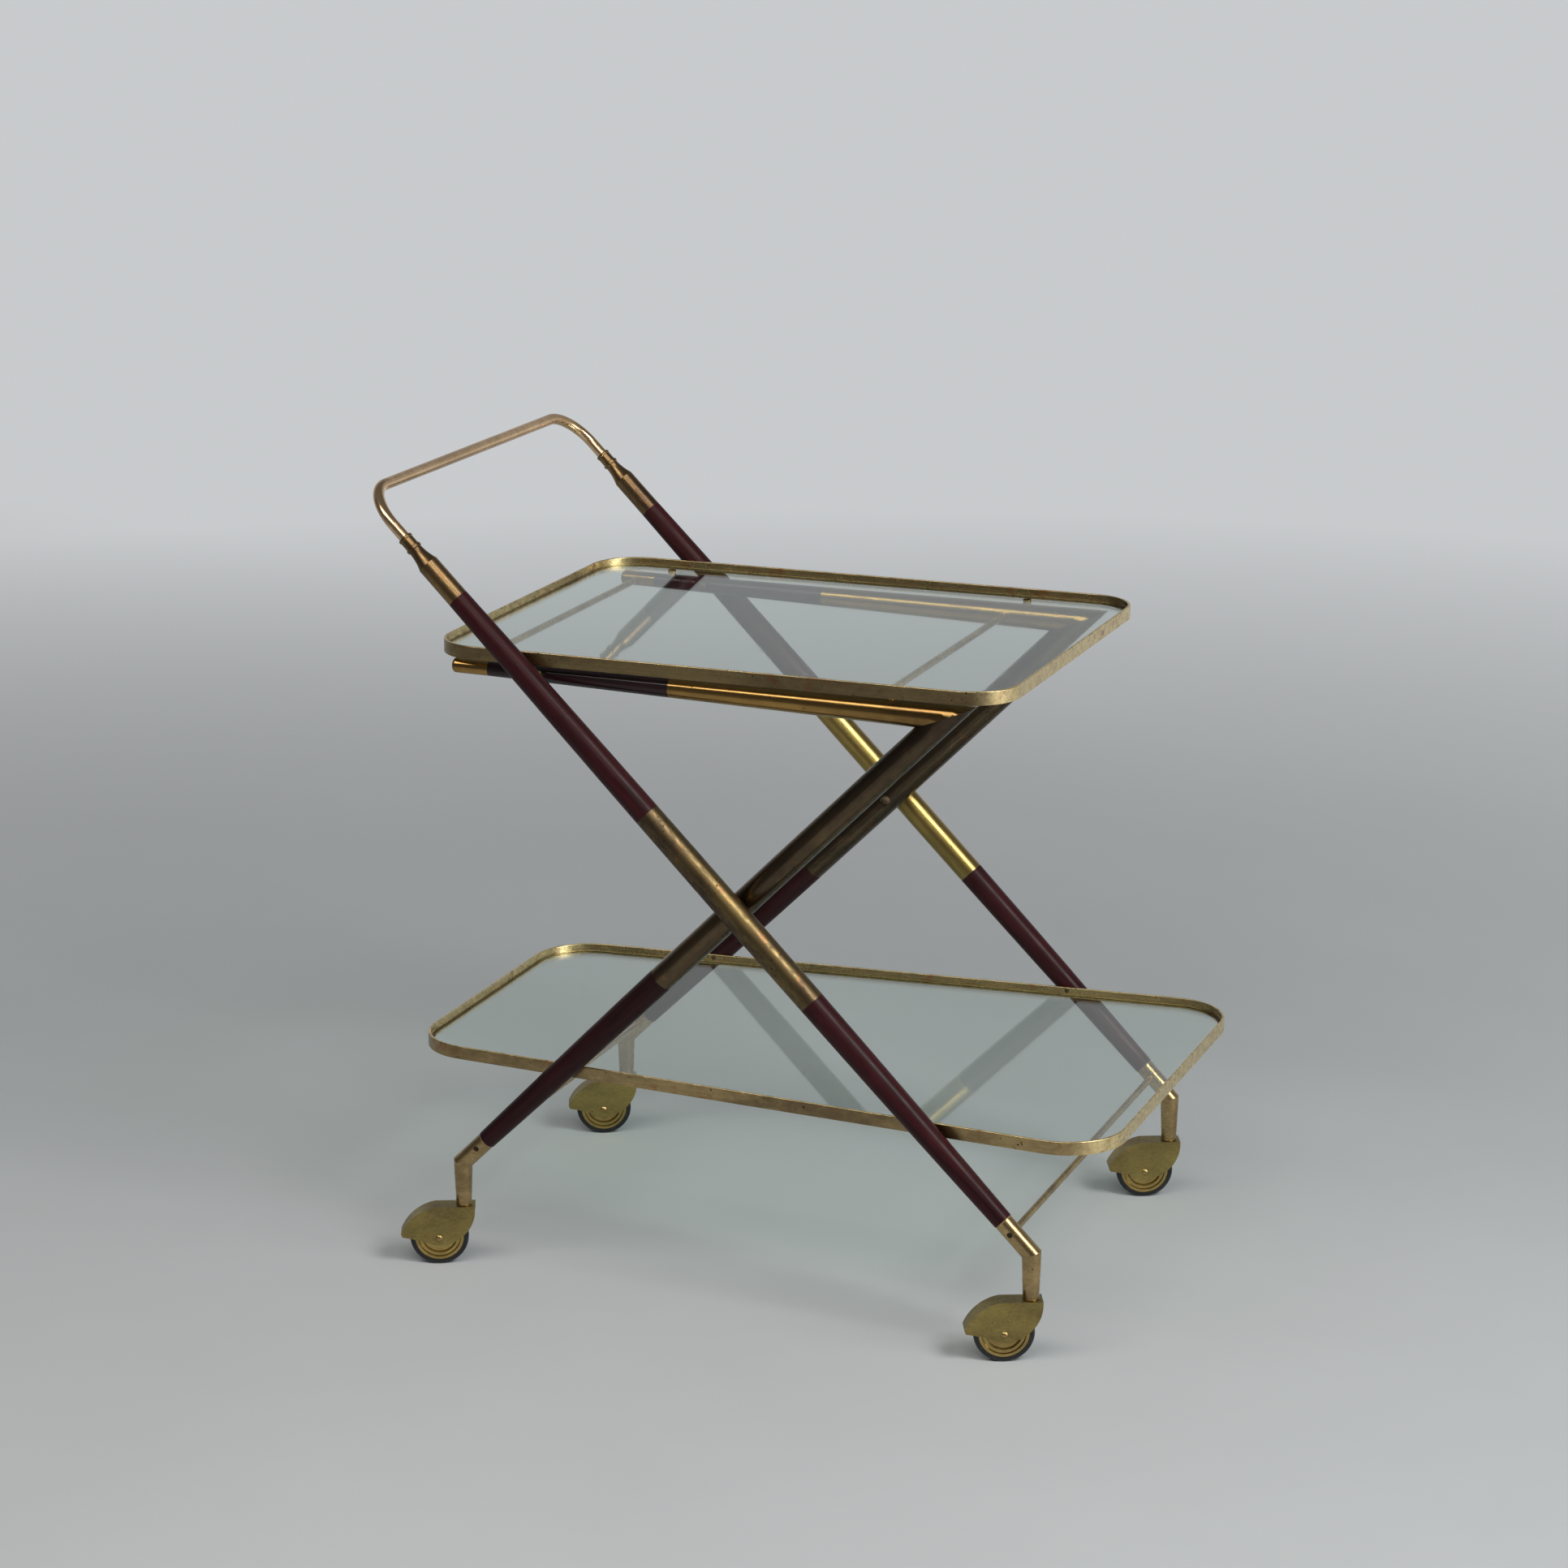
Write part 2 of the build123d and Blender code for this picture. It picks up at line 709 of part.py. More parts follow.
def upper_half_width(x):
    """Half width of the upper tray, the same all along, which fits between the handle legs."""
    leg_distance = (crossing_height - upper_tray_bottom) / sin(tilt)
    return handle_leg_y - upper_handle_leg(leg_distance) - tray_leg_gap


def slab(face, bottom, height):
    """A flat face stood up from one height."""
    return Pos(0, 0, bottom) * extrude(face, height)


def tray_band(plan, bottom):
    """Brass band of a tray with its ledge below the glass and its bead above it."""
    inner = offset(plan, -band_wall)
    ledge_inner = offset(plan, -band_wall - ledge_width)
    bead_inner = offset(plan, -band_wall - bead_width)
    wall = slab(plan - inner, bottom, band_height)
    top_edges = wall.edges().group_by(Axis.Z)[-1]
    wall = fillet(top_edges, band_edge_rounding)
    ledge = slab(inner - ledge_inner, bottom, ledge_height)
    bead = slab(inner - bead_inner, bottom + glass_top, bead_height)
    return wall + ledge + bead


def tray_glass(plan, bottom):
    """Glass pane with ground edges, lying on the ledge of a tray's band."""
    outline = offset(plan, -band_wall - glass_edge_gap)
    pane = slab(outline, bottom + ledge_height, glass_thickness)
    levels = pane.edges().group_by(Axis.Z)
    return chamfer(levels[0] + levels[-1], glass_arris)


def tray_rest(side, distance):
    """Round brass rest on a rail, hollowed below to fit it, with a shank in the rail."""
    x, _ = rail_point(distance)
    y = side * tray_leg_y
    top = upper_tray_bottom + ledge_height
    head_bottom = rail_top - rest_radius / 2
    head = Pos(x, y, (head_bottom + top) / 2) * Cylinder(rest_radius, top - head_bottom)
    rail_part = Pos(0, 0, distance) * Cone(
        rail_radius_at(distance - 2 * rest_radius),
        rail_radius_at(distance + 2 * rest_radius),
        4 * rest_radius,
    )
    shank = Pos(x, y, rail_top - rest_shank_length / 2) * Cylinder(rest_shank_radius, rest_shank_length)
    return head - on_rail(rail_part, y) + shank


def lower_tray_screw(side, forward):
    """Screw through the band into a leg, with a head low enough to clear the pane's flat top."""
    x, z = tray_screw_point(forward)
    inside = tray_half_width(x) - band_wall
    seat = side * (inside - tray_screw_head_gap)
    tip = side * (inside + tray_screw_length - screw_tip_gap)
    shank = across(tray_screw_radius, x, z, seat, tip)
    return head_across(tray_screw_head_radius, tray_screw_head_height, x, z, seat, -side) + shank


# A caster is drawn with its stem on the Z axis and its wheel behind it, then turned and moved


def round_axle(radius, angle):
    """Point at a radius from the axle and an angle from forward, as (x, z)."""
    return radius * cos(radians(angle)), radius * sin(radians(angle))


def hood_plan():
    """Side view of the hood, as a face in X and Z about the axle."""
    top_front = (hood_front, hood_top)
    top_end = (hood_top_end, hood_top)
    back_middle = round_axle(wheel_radius + hood_back_room, hood_back_angle)
    lip_top = round_axle(wheel_radius + hood_lip_room, hood_lip_angle)
    lip_bottom = (lip_top[0] + hood_lip_width, lip_top[1] - hood_lip_height)
    hollow = (hood_front - hood_front_hollow, hood_front_hollow_height)
    front_bottom = (hood_front, hood_top - hood_front_height)

    def corner(point):
        return (point[0], 0, point[1])

    outline = [
        Line(corner(top_front), corner(top_end)),
        ThreePointArc(corner(top_end), corner(back_middle), corner(lip_top)),
        Line(corner(lip_top), corner(lip_bottom)),
        Line(corner(lip_bottom), corner(hood_lobe_start)),
        ThreePointArc(corner(hood_lobe_start), corner(hood_lobe_bottom), corner(hood_lobe_end)),
        ThreePointArc(corner(hood_lobe_end), corner(hollow), corner(front_bottom)),
        Line(corner(front_bottom), corner(top_front)),
    ]
    return make_face(outline)


def caster_hood():
    """Sheet hood: two side plates joined by a strip over the top and back."""
    plan = hood_plan()
    strip_plan = plan - Pos(hood_back_sheet, 0, -hood_sheet) * plan
    strip = extrude(strip_plan, hood_width / 2, both=True)
    blank = extrude(plan, hood_width / 2, both=True)
    inside = extrude(plan, hood_width / 2 - hood_sheet, both=True)
    hood = Pos(-caster_trail, 0, axle_height) * (blank - inside + strip)
    axle_hole = across(axle_radius, -caster_trail, axle_height, -hood_width, hood_width)
    stem_hole = Pos(0, 0, axle_height + hood_top) * Cylinder(stem_radius, 4 * hood_sheet)
    return hood - axle_hole - stem_hole


def caster_stem():
    """Stem riveted through the hood's top, with a collar that turns under the foot."""
    top = axle_height + hood_top
    under = top - hood_sheet
    return turned(section(
        (0, under - stem_flange_height),
        (stem_flange_radius, under - stem_flange_height),
        (stem_flange_radius, under),
        (stem_radius, under),
        (stem_radius, top),
        (stem_collar_radius, top),
        (stem_collar_radius, top + stem_collar_height),
        (stem_radius, top + stem_collar_height),
        (stem_radius, top + stem_height - stem_chamfer),
        (stem_radius - stem_chamfer, top + stem_height),
        (0, top + stem_height),
        (0, under - stem_flange_height),
    ))


def caster_axle():
    """Axle with a domed rivet head outside each plate."""
    shank = across(axle_radius, -caster_trail, axle_height, -hood_width / 2, hood_width / 2)
    for side in (-1, 1):
        shank += head_across(
            axle_head_radius, axle_head_height, -caster_trail, axle_height, side * hood_width / 2, side
        )
    return shank


def on_axle(shape):
    """Moves a turned piece from its own Z axis onto the caster's axle."""
    return Pos(-caster_trail, 0, axle_height) * Rot(90, 0, 0) * shape


def wheel_disc():
    """Pressed brass wheel with stepped rings, a thin web and a wide hub."""
    half_section = [
        (axle_radius + shaft_gap, hub_half_width),
        (hub_radius, hub_half_width),
        (hub_radius, disc_web_half_width),
        (disc_step_inner, disc_web_half_width),
        (disc_step_inner + disc_step_slope, disc_step_half_width),
        (disc_rim_inner - disc_rim_slope, disc_step_half_width),
        (disc_rim_inner, disc_rim_half_width),
        (disc_radius, disc_rim_half_width),
    ]
    mirrored = [(radius, -height) for radius, height in reversed(half_section)]
    return on_axle(turned(section(*half_section, *mirrored, half_section[0])))


def tyre():
    """Black tyre with rounded shoulders round the wheel's rim."""
    half, tread = tyre_width / 2, tyre_tread_width / 2
    side_radius = wheel_radius - tyre_shoulder
    bulge_out, bulge_across = tyre_shoulder_bulge
    shoulder = ((side_radius + wheel_radius) / 2 + bulge_out, (half + tread) / 2 + bulge_across)
    outline = [
        section((disc_radius, -half), (side_radius, -half)),
        ThreePointArc(
            (side_radius, 0, -half), (shoulder[0], 0, -shoulder[1]), (wheel_radius, 0, -tread)
        ),
        section((wheel_radius, -tread), (wheel_radius, tread)),
        ThreePointArc(
            (wheel_radius, 0, tread), (shoulder[0], 0, shoulder[1]), (side_radius, 0, half)
        ),
        section((side_radius, half), (disc_radius, half), (disc_radius, -half)),
    ]
    return on_axle(turned(*outline))


caster_places = {
    "front_right": (elbow_x, -handle_leg_y),
    "front_left": (elbow_x, handle_leg_y),
    "rear_right": (-elbow_x, -tray_leg_y),
    "rear_left": (-elbow_x, tray_leg_y),
}
caster_pieces = {
    "caster_hood": caster_hood,
    "caster_stem": caster_stem,
    "caster_axle": caster_axle,
    "wheel_disc": wheel_disc,
    "tyre": tyre,
}
sides = {"right": -1, "left": 1}

# Footprint, to put the origin at its middle: the handle and the lower tray reach furthest in X.
# In Y the legs reach furthest on the left, and the turned hoods on the right.
handle_reach = -handle_bar_distance * cos(tilt) + handle_tube_radius
turn = radians(caster_turn)
hood_back = caster_trail - round_axle(wheel_radius + hood_lip_room, hood_lip_angle)[0]
hood_reach = hood_back * sin(turn) + hood_width / 2 * cos(turn)
left_reach = handle_leg_y + max(
    leg_radius, hood_front_reach * sin(turn) + hood_width / 2 * cos(turn)
)
middle_x = (lower_tray_front - handle_reach) / 2
middle_y = (left_reach - (handle_leg_y + hood_reach)) / 2
to_origin = Pos(-middle_x, -middle_y, 0)

nodes = {"handle_tube": handle_tube()}
for name, side in sides.items():
    outer, inner = side * handle_leg_y, side * tray_leg_y
    nodes[f"handle_ferrule_{name}"] = ferrule(side)
    nodes[f"handle_leg_upper_wood_{name}"] = handle_leg_upper_wood(side)
    nodes[f"handle_leg_sleeve_{name}"] = handle_leg_sleeve(side)
    nodes[f"handle_leg_lower_wood_{name}"] = lower_wood(
        side, 1, outer, handle_sleeve_end, handle_foot_start
    )
    nodes[f"handle_leg_foot_{name}"] = foot(side, 1, outer, handle_foot_start)
    nodes[f"tray_leg_sleeve_{name}"] = mitred_tray_leg_sleeve(side)
    nodes[f"tray_leg_wood_{name}"] = lower_wood(side, -1, inner, tray_sleeve_end, tray_foot_start)
    nodes[f"tray_leg_foot_{name}"] = foot(side, -1, inner, tray_foot_start)
    nodes[f"rail_sleeve_{name}"] = rail_sleeve(side)
    nodes[f"rail_wood_{name}"] = rail_wood(side)
    nodes[f"rail_cap_{name}"] = rail_cap(side)

nodes["rail_rod_rear"] = rail_rod(rear_rail_rod_distance)
nodes["rail_rod_front"] = rail_rod(front_rail_rod_distance)
nodes["foot_rod_front"] = foot_rod(1, handle_leg_y)
nodes["foot_rod_rear"] = foot_rod(-1, tray_leg_y)

both_sides = sides.values()
leg_rows = ((1, handle_leg_y), (-1, tray_leg_y))
groups = {
    "crossing_bosses": [crossing_boss(side) for side in both_sides],
    "crossing_bolts": [crossing_bolt(side) for side in both_sides],
    "crossing_plugs": [
        crossing_plug(forward, side * y, side) for side in both_sides for forward, y in leg_rows
    ],
    "tie_bosses": [tie_boss(side) for side in both_sides],
    "tie_screws": [tie_screw(side) for side in both_sides],
    "rod_end_screws": [
        rod_end_screw(side, forward, y) for side in both_sides for forward, y in leg_rows
    ],
    "lower_tray_screws": [
        lower_tray_screw(side, forward) for side in both_sides for forward in (-1, 1)
    ],
    "tray_rests": [tray_rest(side, distance) for side in both_sides for distance in rest_distances],
}
for name, pieces in groups.items():
    nodes[name] = Compound([solid for piece in pieces for solid in piece.solids()])

upper_plan = tray_outline(upper_tray_rear, upper_tray_front, upper_half_width, upper_tray_corner)
lower_plan = tray_outline(lower_tray_rear, lower_tray_front, tray_half_width, lower_tray_corner)
nodes["upper_tray_band"] = tray_band(upper_plan, upper_tray_bottom)
nodes["upper_tray_glass"] = tray_glass(upper_plan, upper_tray_bottom)
nodes["lower_tray_band"] = tray_band(lower_plan, lower_tray_bottom)
for side in both_sides:
    for forward in (-1, 1):
        nodes["lower_tray_band"] -= tray_screw_hole(side, forward)
nodes["lower_tray_glass"] = tray_glass(lower_plan, lower_tray_bottom)

for corner, (x, y) in caster_places.items():
    for piece, make in caster_pieces.items():
        nodes[f"{piece}_{corner}"] = Pos(x, y, 0) * Rot(0, 0, caster_turn) * make()

os.makedirs("parts", exist_ok=True)
for name, shape in nodes.items():
    export_step(to_origin * shape, f"parts/{name}.step")
print(len(nodes), "nodes, origin at", round(middle_x, 2), round(middle_y, 2), "from the crossing")
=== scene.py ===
import math

import bmesh
import bpy
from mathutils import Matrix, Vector

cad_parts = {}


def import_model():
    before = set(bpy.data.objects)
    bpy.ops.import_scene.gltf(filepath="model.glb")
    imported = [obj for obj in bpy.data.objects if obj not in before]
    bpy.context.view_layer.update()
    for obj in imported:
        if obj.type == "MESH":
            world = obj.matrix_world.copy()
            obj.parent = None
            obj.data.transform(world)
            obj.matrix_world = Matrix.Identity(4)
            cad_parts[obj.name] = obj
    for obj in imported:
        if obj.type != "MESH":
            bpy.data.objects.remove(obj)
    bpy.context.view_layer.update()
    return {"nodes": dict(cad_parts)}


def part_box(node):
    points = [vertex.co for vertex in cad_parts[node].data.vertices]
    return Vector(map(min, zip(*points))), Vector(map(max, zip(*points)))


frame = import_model()
nodes = frame["nodes"]

# Photograph and camera, in metres
PHOTO_PIXELS = 1932
FOCAL_PIXELS = 5001.7
SENSOR_WIDTH = 36.0
CAMERA_PLACE = (1.3217, -3.4584, 1.4596)
CAMERA_TARGET = (0.3024, -0.8471, 0.6992)
NEAR_CLIP = 0.05
FAR_CLIP = 60.0

# Straight bars: the legs lean 45 degrees, the rails hardly at all, and the mitre between a tray leg
# and its rail is this far up the leg from the crossing
LEG_LEAN = math.radians(45.0)
RAIL_LEAN = math.radians(0.686)
MITRE_DISTANCE = 0.272

# True rounds: surfaces within the reach of an axis whose normals point nearly straight out from it
BAR_REACH = 0.0145
FOOT_REACH = 0.0093
NEARLY_RADIAL = math.cos(math.radians(5.0))

# Turns that bring each direction onto X
ALONG_HANDLE_LEG = (0, -LEG_LEAN, 0)
ALONG_TRAY_LEG = (0, LEG_LEAN, 0)
ALONG_RAIL = (0, RAIL_LEAN, 0)

# Stretches along a piece, smaller for marks that run further along it
EVEN = (1.0, 1.0, 1.0)
CLOUD_STRETCH = (0.4, 1.0, 1.0)
MOTTLE_STRETCH = (0.6, 1.0, 1.0)
POLISH_STRETCH = (0.02, 1.0, 1.0)
SCRATCH_STRETCH = (0.1, 1.0, 1.0)
GRAIN_STRETCH = (0.06, 1.0, 1.0)
PORE_STRETCH = (0.03, 1.0, 1.0)
WIPE_STRETCH = (1.0, 14.0, 1.0)
WIPE_TURN = (0, 0, 0.6)

# Marks: the scale, detail, roughness and distortion of each one's noise, and the range of that noise
# over which the mark sets in
MARKS = {
    "polish_lines": ((520.0, 2.0, 0.5), (0.35, 0.75)),
    "red_spots": ((62.0, 4.0, 0.6, 0.5), (0.6, 0.72)),
    "speck_areas": ((27.0, 2.0), (0.5, 0.64)),
    "wood_grain": ((130.0, 6.0, 0.62, 1.2), (0.36, 0.66)),
    "wood_wear": ((30.0, 3.0), (0.58, 0.74)),
    "wood_smudges": ((48.0, 5.0), (0.35, 0.7)),
    "glass_dust": ((26.0, 5.0, 0.6), (0.45, 0.75)),
    "glass_wipes": ((60.0, 3.0, 0.6), (0.4, 0.7)),
    "floor_mottle": ((1.6, 5.0, 0.6), (0.3, 0.7)),
}

# Noise of the brass's clouds and mottle: detail, roughness and distortion, with a scale for each brass
CLOUD_NOISE = (3.0, 0.5, 0.3)
MOTTLE_NOISE = (5.0, 0.62)

# Other noises, given as in the marks but without a range
SPECK_NOISE = (330.0, 3.0, 0.5)
SCRATCH_NOISE = (700.0, 2.0, 0.5)
PORE_NOISE = (900.0, 3.0, 0.6)
TYRE_DUST_NOISE = (90.0, 5.0, 0.65)
TYRE_GRAIN_NOISE = (700.0, 2.0)

# Brass: where the clouds of tarnish set in, and how fine and strong the mottle in them is
TARNISH_RANGE = (0.33, 0.67)
MOTTLE_PER_CLOUD = 9.0
MOTTLE_RANGE = (0.3, 0.7)
MOTTLE_SHARE = 0.3
POLISH_LINE_TONE = 0.55
POLISH_LINE_STRENGTH = 0.3
SPECK_EDGE = 0.06
SPECK_ROUGHNESS = 0.25
COPPER_RED = (0.30, 0.115, 0.05)
DARK_SPECK = (0.045, 0.022, 0.012)

# Painted highlight and wear on brass: how far a surface faces up or forward, and how much the mottle
# keeps of its dullness
HIGHLIGHT_AND_WEAR_UP_RANGE = (0.35, 0.85)
HIGHLIGHT_AND_WEAR_FORWARD_RANGE = (0.35, 0.8)
HIGHLIGHT_AND_WEAR_MOTTLE_RANGE = (0.42, 0.7)
HIGHLIGHT_AND_WEAR_IN_MOTTLE = 0.45

# Relief of each material: strength, and depth in metres
BRASS_RELIEF = (0.08, 0.00005)
WOOD_RELIEF = (0.05, 0.00004)
RUBBER_RELIEF = (0.15, 0.0001)

# Mahogany
WOOD_LIGHT = (0.041, 0.0074, 0.0096)
WOOD_DARK = (0.0155, 0.0035, 0.0049)
TRAY_LEG_WOOD = ((0.028, 0.006, 0.0076), (0.0115, 0.003, 0.0042))
RAIL_WOOD = ((0.022, 0.006, 0.0085), (0.009, 0.003, 0.0045))
WOOD_PORE = (0.008, 0.003, 0.003)
PORE_RANGE = (0.6, 0.72)
PORE_STRENGTH = 0.7
WOOD_WEAR_TONE = 1.5
WOOD_WEAR_STRENGTH = 0.35
WOOD_ROUGHNESS = (0.35, 0.52)
WOOD_SPECULAR = 0.12
DULL_COAT = 0.04
POLISHED_COAT = 0.5
COAT_ROUGHNESS = 0.09

# Glass
GLASS_IOR = 1.52
GLASS_CLEAN = (0.925, 0.985, 0.955)
GLASS_DUSTY = (0.885, 0.955, 0.92)
GLASS_ROUGHNESS = (0.0, 0.035)
GLASS_SHADOW = (0.94, 0.98, 0.965, 1.0)
GLASS_BODY = (0.55, 0.90, 0.74, 1.0)
GLASS_BODY_DENSITY = 9.0

# Rubber
RUBBER_BLACK = (0.006, 0.006, 0.007)
RUBBER_DUST = (0.022, 0.021, 0.02)
RUBBER_DUST_RANGE = (0.5, 0.75)
RUBBER_DULL_RANGE = (0.35, 0.7)
RUBBER_ROUGHNESS = (0.16, 0.36)

# Studio: a round pale floor that sweeps up into the wall, with painted shade on the side the camera
# stands on, and glowing softly from the start of the backdrop to its end, less so high up
FLOOR_COLOUR = (0.54, 0.575, 0.605)
FLOOR_MOTTLE_TONE = 0.94
FLOOR_ROUGHNESS = 0.75
FLOOR_SPECULAR = 0.2
FLOOR_RADIUS = 6.5
FLOOR_RINGS = (1.0, 3.0)
WALL_BEND = 1.6
WALL_HEIGHT = 4.5
SWEEP_STEPS = 12
TURN_STEPS = 96
BACKDROP_COLOUR = (0.58, 0.595, 0.61, 1.0)
BACKDROP_START = 0.9
BACKDROP_END = 3.6
DARK_SIDE = 0.22
PAINTED_SHADE_COLOUR = (0.02, 0.02, 0.02)
SIDE_SLANT = 0.35
PAINTED_FLOOR_SHADE_RANGE = (-4.5, -1.6)
DARK_WALL_RANGE = (-3.0, 2.0)
HIGH_RANGE = (0.9, 2.2)
HIGH_DIMMING = 0.62

# Lamps: place, point aimed at, size, power and colour
LAMPS = {
    "window": ((3.1, -1.5, 3.4), (0.2, 0.2, 0.4), (1.6, 1.6), 110, (1.0, 0.975, 0.94)),
    "ceiling": ((-0.4, -2.5, 3.1), (-0.1, 0, 0.55), (3.8, 1.3), 72, (1.0, 0.95, 0.86)),
    "side": ((2.9, -0.6, 0.8), (0.35, -0.1, 0.65), (1.3, 0.6), 22, (1.0, 0.96, 0.88)),
}
WORLD_COLOUR = (0.93, 0.96, 1.0, 1.0)
WORLD_STRENGTH = 0.13


def coordinates(tree, turn=(0, 0, 0), stretch=EVEN):
    """Place on the part, turned so that X runs along a piece, and stretched."""
    place = tree.nodes.new("ShaderNodeTexCoord")
    turned = tree.nodes.new("ShaderNodeMapping")
    turned.vector_type = "POINT"
    turned.inputs["Rotation"].default_value = turn
    tree.links.new(place.outputs["Object"], turned.inputs["Vector"])
    stretched = tree.nodes.new("ShaderNodeMapping")
    stretched.inputs["Scale"].default_value = stretch
    tree.links.new(turned.outputs["Vector"], stretched.inputs["Vector"])
    return stretched.outputs["Vector"]


def facing(tree, axis):
    """How far the surface faces along an axis of the part, from -1 to 1."""
    place = tree.nodes.new("ShaderNodeTexCoord")
    parts = tree.nodes.new("ShaderNodeSeparateXYZ")
    tree.links.new(place.outputs["Normal"], parts.inputs["Vector"])
    return parts.outputs[axis]


def noise(tree, vector, scale, detail=4.0, roughness=0.55, distortion=0.0):
    """Noise value between 0 and 1."""
    node = tree.nodes.new("ShaderNodeTexNoise")
    node.inputs["Scale"].default_value = scale
    node.inputs["Detail"].default_value = detail
    node.inputs["Roughness"].default_value = roughness
    node.inputs["Distortion"].default_value = distortion
    tree.links.new(vector, node.inputs["Vector"])
    return node.outputs["Fac"]


def remap(tree, value, low, high, to_low=0.0, to_high=1.0):
    """Clamped linear change of range."""
    node = tree.nodes.new("ShaderNodeMapRange")
    node.inputs["From Min"].default_value = low
    node.inputs["From Max"].default_value = high
    node.inputs["To Min"].default_value = to_low
    node.inputs["To Max"].default_value = to_high
    tree.links.new(value, node.inputs["Value"])
    return node.outputs["Result"]


def mark(tree, kind, vector, least=0.0, most=1.0):
    """Amount of a kind of mark at each place."""
    shape, (low, high) = MARKS[kind]
    return remap(tree, noise(tree, vector, *shape), low, high, least, most)


def mixed(tree, factor, first, second):
    """Colour between two colours, each a tuple or a socket."""
    node = tree.nodes.new("ShaderNodeMix")
    node.data_type = "RGBA"
    tree.links.new(factor, node.inputs["Factor"])
    for socket, colour in ((node.inputs["A"], first), (node.inputs["B"], second)):
        if isinstance(colour, tuple):
            socket.default_value = (*colour, 1.0)
        else:
            tree.links.new(colour, socket)
    return node.outputs["Result"]


def math_node(tree, operation, first, second):
    """Result of an operation on two values, each a number or a socket."""
    node = tree.nodes.new("ShaderNodeMath")
    node.operation = operation
    for socket, value in ((node.inputs[0], first), (node.inputs[1], second)):
        if isinstance(value, (int, float)):
            socket.default_value = value
        else:
            tree.links.new(value, socket)
    return node.outputs["Value"]


def toned(colour, factor):
    """Colour made darker or lighter by a factor."""
    return tuple(factor * channel for channel in colour)


def bump(tree, shader, height, strength, distance):
    """Small relief from a height value."""
    node = tree.nodes.new("ShaderNodeBump")
    node.inputs["Strength"].default_value = strength
    node.inputs["Distance"].default_value = distance
    tree.links.new(height, node.inputs["Height"])
    tree.links.new(node.outputs["Normal"], shader.inputs["Normal"])


def new_material(name):
    """Empty node material with its principled shader."""
    material = bpy.data.materials.new(name)
    material.use_nodes = True
    tree = material.node_tree
    shader = tree.nodes["Principled BSDF"]
    return material, tree, shader


def brass(name, bright, tarnish, turn=(0, 0, 0), cloud=11.0, rough=(0.2, 0.34), spots=0.35,
          specks=0.62, highlight_and_wear=None):
    """Aged brass: clouds of tarnish, faint polish lines, copper-red spots and dark specks.
    Where a brighter last colour is given, surfaces that face up or forward have it: a painted highlight,
    partly also wear."""
    material, tree, shader = new_material(name)
    even = coordinates(tree)

    # Clouds of tarnish with a finer mottle in them
    clouds = noise(tree, coordinates(tree, turn, CLOUD_STRETCH), cloud, *CLOUD_NOISE)
    mottle_place = coordinates(tree, turn, MOTTLE_STRETCH)
    mottle = noise(tree, mottle_place, cloud * MOTTLE_PER_CLOUD, *MOTTLE_NOISE)
    dull = remap(tree, clouds, *TARNISH_RANGE)
    dull = math_node(tree, "ADD", dull, remap(tree, mottle, *MOTTLE_RANGE, -MOTTLE_SHARE, MOTTLE_SHARE))
    colour = mixed(tree, remap(tree, dull, 0.0, 1.0), bright, tarnish)

    # Painted highlight, partly also wear where hands and cloths reach: brighter on surfaces that face up
    # or forward
    if highlight_and_wear:
        up = remap(tree, facing(tree, "Z"), *HIGHLIGHT_AND_WEAR_UP_RANGE)
        forward = remap(tree, facing(tree, "X"), *HIGHLIGHT_AND_WEAR_FORWARD_RANGE)
        highlight_and_wear_mask = math_node(tree, "MAXIMUM", up, forward)
        kept = remap(tree, mottle, *HIGHLIGHT_AND_WEAR_MOTTLE_RANGE, 1.0, HIGHLIGHT_AND_WEAR_IN_MOTTLE)
        colour = mixed(tree, math_node(tree, "MULTIPLY", highlight_and_wear_mask, kept), colour, highlight_and_wear)

    # Polish lines, red spots and dark specks
    lines = mark(tree, "polish_lines", coordinates(tree, turn, POLISH_STRETCH), most=POLISH_LINE_STRENGTH)
    colour = mixed(tree, lines, colour, toned(tarnish, POLISH_LINE_TONE))
    colour = mixed(tree, mark(tree, "red_spots", even, most=spots), colour, COPPER_RED)
    speck = remap(tree, noise(tree, even, *SPECK_NOISE), specks, specks + SPECK_EDGE)
    speck = math_node(tree, "MULTIPLY", speck, mark(tree, "speck_areas", even))
    colour = mixed(tree, speck, colour, DARK_SPECK)
    tree.links.new(colour, shader.inputs["Base Color"])

    # Rougher in the mottle and on the specks, with a slight relief of scratches
    shader.inputs["Metallic"].default_value = 1.0
    worn_surface = remap(tree, mottle, *MOTTLE_RANGE, *rough)
    speck_surface = math_node(tree, "MULTIPLY", speck, SPECK_ROUGHNESS)
    tree.links.new(math_node(tree, "ADD", worn_surface, speck_surface), shader.inputs["Roughness"])
    scratches = noise(tree, coordinates(tree, turn, SCRATCH_STRETCH), *SCRATCH_NOISE)
    bump(tree, shader, math_node(tree, "ADD", scratches, clouds), *BRASS_RELIEF)
    return material


